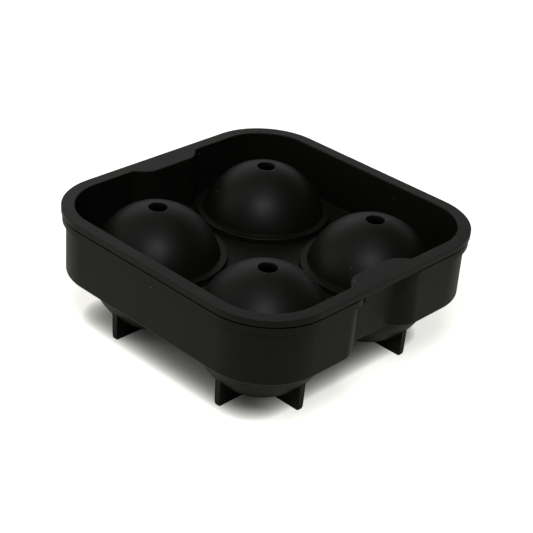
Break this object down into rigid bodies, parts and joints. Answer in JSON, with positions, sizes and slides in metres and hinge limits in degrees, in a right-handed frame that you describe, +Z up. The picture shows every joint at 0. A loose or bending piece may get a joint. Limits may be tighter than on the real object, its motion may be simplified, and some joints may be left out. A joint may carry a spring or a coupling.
{
  "type": "ice ball mold",
  "caption": "Square two-part silicone mold for ice balls: finned cups in a base tray, and a lid of domes with fill holes that nests in it and lifts off by its finger tabs.",
  "frame": {"origin": "on the table, under the middle of the mold", "axes": "+Z up, the way the lid lifts; +X and -X through the finger notches; +Y along a notched wall"},
  "size_m": [0.122, 0.122, 0.0496],
  "materials": {
    "black_silicone": "matte"
  },
  "bodies": {
    "base_tray": {"base_tray": "black_silicone"},
    "lid": {"lid": "black_silicone"}
  },
  "joints": [
    {"name": "lid_lift", "type": "slide", "parent": "base_tray", "child": "lid", "axis": [0, 0, 1], "range_m": [0, 0.06]}
  ]
}
